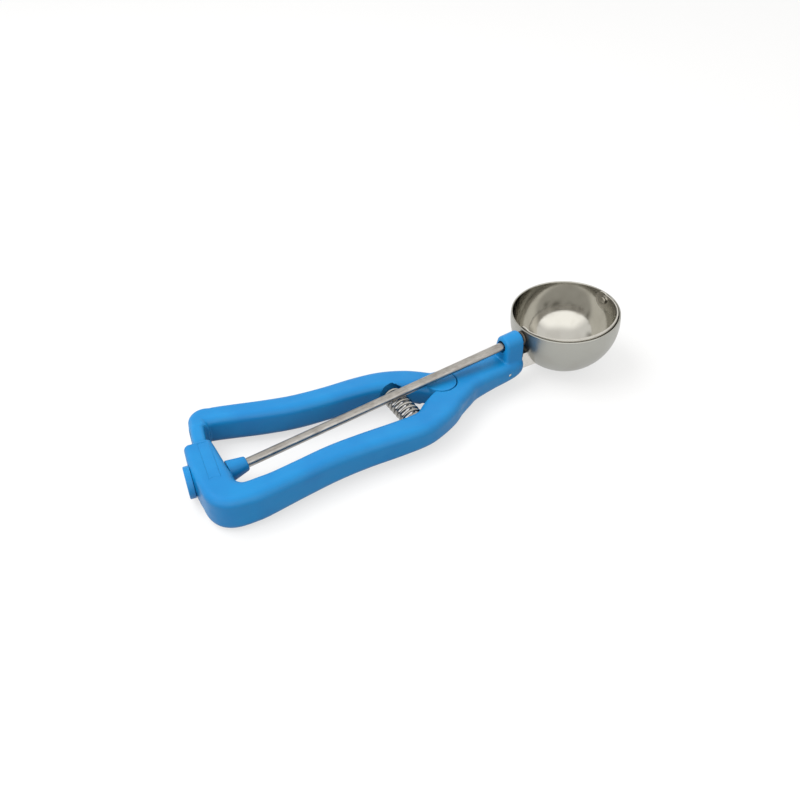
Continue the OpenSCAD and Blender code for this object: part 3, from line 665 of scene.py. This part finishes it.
rod = turned("rod", [(0, 0), (0, 1.95), (0.3, 2.25), (180.3, 2.25), (180.6, 1.95), (180.6, 0)],
             on_rod(-5.5), rod_axis, sides=64)
finished(rod, rubbed_steel("rod_steel", along=(0.04, 1, 1)), "rod", "rod_steel", "drive_rod",
         crease=30)

# ---- Return spring ------------------------------------------------------------------------
# Bright drawn wire in an open coil, closed at both ends, between pockets in the two arms. The
# real spring shortens as the lever comes in; this one keeps the length it is built at.
spring_centre = Vector((97, 0, 10.6))
spring_ends = (-14.8, 10.9)
wire_r = 0.75
coil_r = 4.75
spring_turns = 8
rings_per_turn = 28
wire_sides = 12
points, faces = [], []
ring_count = spring_turns * rings_per_turn + 1
spring_start = spring_ends[0] + wire_r
spring_length = spring_ends[1] - spring_ends[0] - 2 * wire_r
for i in range(ring_count):
    turns = i / rings_per_turn
    a = 2 * math.pi * turns
    share = i / (ring_count - 1)
    centre = Vector((coil_r * math.cos(a), spring_start + spring_length * share,
                     coil_r * math.sin(a)))
    outward = Vector((math.cos(a), 0, math.sin(a)))
    pitch = spring_length / spring_turns
    ahead = Vector((-coil_r * math.sin(a), pitch / (2 * math.pi), coil_r * math.cos(a)))
    side = ahead.normalized().cross(outward)
    for k in range(wire_sides):
        b = 2 * math.pi * k / wire_sides
        points.append(spring_centre + centre + wire_r * (math.cos(b) * outward
                                                         + math.sin(b) * side))
for i in range(ring_count - 1):
    for k in range(wire_sides):
        j = (k + 1) % wire_sides
        faces.append((i * wire_sides + k, i * wire_sides + j,
                      (i + 1) * wire_sides + j, (i + 1) * wire_sides + k))
faces.append(tuple(range(wire_sides)))
faces.append(tuple(range(ring_count * wire_sides - 1, (ring_count - 1) * wire_sides - 1, -1)))
spring = solid("spring", points, faces)
spring_steel = rubbed_steel("spring_wire", light=(0.45, 0.44, 0.41, 1),
                            dull=(0.14, 0.13, 0.12, 1), roughness=0.16)
finished(spring, spring_steel, "frame", "spring_steel", "return_spring", crease=50)
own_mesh(spring)

# ---- Bowl ---------------------------------------------------------------------------------
# Spun stainless sheet: satin outside, polished inside, and a thin rolled rim. It is spot
# welded to the shank below the rod.
bowl_wall = 0.8
rim_rise = 4.3
inner_r = bowl_r - bowl_wall
bowl_centre = on_rod(bowl_reach)
bowl_up = Vector((-rod_axis.z, 0, rod_axis.x))


def bowl_profile():
    """Height and radius from the outer base, over the rim, to the inner base."""
    outside = math.asin((rim_rise - 0.1) / bowl_r)
    inside = math.asin((rim_rise - 0.1) / inner_r)
    profile = [(-bowl_r, 0)]
    profile += [(bowl_r * math.sin(a), bowl_r * math.cos(a))
                for a in np.linspace(-math.pi / 2, outside, 60)[1:]]
    rim_middle = (bowl_r + inner_r) / 2 * math.cos(outside)
    bead = 0.42
    profile += [(rim_rise + bead * math.sin(a), rim_middle + bead * math.cos(a))
                for a in np.linspace(-0.1, math.pi + 0.1, 16)]
    profile += [(inner_r * math.sin(a), inner_r * math.cos(a))
                for a in np.linspace(inside, -math.pi / 2, 60)[:-1]]
    return profile + [(-inner_r, 0)]


bowl = turned("bowl_shell", bowl_profile(), bowl_centre, bowl_up, sides=160)
carve(bowl, "DIFFERENCE", bar("rod_hole", 165, 180, rod_bore_r), bar("tip_hole", 220, 232, 1.21))
bowl_finish = Finish("bowl_steel")
spot = bowl_finish.place() - tuple(c * mm for c in bowl_centre)
depth_in = bowl_finish.node("ShaderNodeVectorMath", {"operation": "LENGTH"}, {0: spot},
                            output="Value")
outside_mask = depth_in.ramp((inner_r + 0.2) * mm, (inner_r + 0.4) * mm)
lathe_rings = bowl_finish.node(
    "ShaderNodeTexNoise", {"noise_dimensions": "1D"},
    {"W": bowl_finish.node("ShaderNodeVectorMath", {"operation": "DOT_PRODUCT"},
                           {0: spot, 1: tuple(bowl_up)}, output="Value") / (0.35 * mm),
     "Scale": 1.0, "Detail": 3})
smears = bowl_finish.noise(9 * mm, detail=4)
bowl_colour = bowl_finish.mix(outside_mask, (0.46, 0.45, 0.415, 1), (0.38, 0.38, 0.35, 1))
bowl_colour = bowl_finish.mix(smears.ramp(0.45, 0.75) * 0.35, bowl_colour, (0.37, 0.355, 0.32, 1))
bowl_roughness = (outside_mask * 0.24 + 0.07 + 0.05 * lathe_rings.ramp(0.35, 0.7)
                  + 0.05 * smears.ramp(0.4, 0.7))
bowl_finish.set(Base_Color=bowl_colour, Metallic=1.0, Roughness=bowl_roughness,
                Normal=bowl_finish.bump(lathe_rings, 0.012 * mm, 0.35))
finished(bowl, bowl_finish.material, "frame", "bowl_steel", "bowl", crease=35)

# ---- Scraper ------------------------------------------------------------------------------
# A stamped strip that follows the bowl's inside, fixed to the rod at the back and turning on
# a pin at the tip. At rest it lies along the near side, just below the rim.
scraper_steel = rubbed_steel("scraper_steel", light=(0.62, 0.60, 0.55, 1),
                             dull=(0.50, 0.48, 0.44, 1), roughness=0.24)


def dressed(material, *names):
    """Gives CAD pieces that are shown as they are their material."""
    for name in names:
        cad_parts[name].data.materials.clear()
        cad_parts[name].data.materials.append(material)


dressed(scraper_steel, "scraper", "scraper_hub", "tip_pivot", "shank_pin", "hinge_pin")

# ---- Shank and washer ---------------------------------------------------------------------
# The folded bracket that carries the bowl, bright from polishing, and the washer between the lug
# and the bowl, coloured near black as painted shade for the shadowed gap there.
shank_steel = rubbed_steel("shank_steel", along=(0.2, 1, 1), light=(0.74, 0.72, 0.68, 1),
                           dull=(0.55, 0.53, 0.49, 1), roughness=0.14)
dressed(shank_steel, "bowl_shank")
# Painted shade: near-black steel on the washer stands in for the shadow in the gap between lug and
# bowl. The pinion, its pin and the rack share it.
painted_shade_steel = rubbed_steel("painted_shade_steel", light=(0.16, 0.14, 0.12, 1),
                            dull=(0.07, 0.06, 0.05, 1), roughness=0.4)
dressed(painted_shade_steel, "thrust_washer", "pinion", "pinion_pin", "gear_rack")
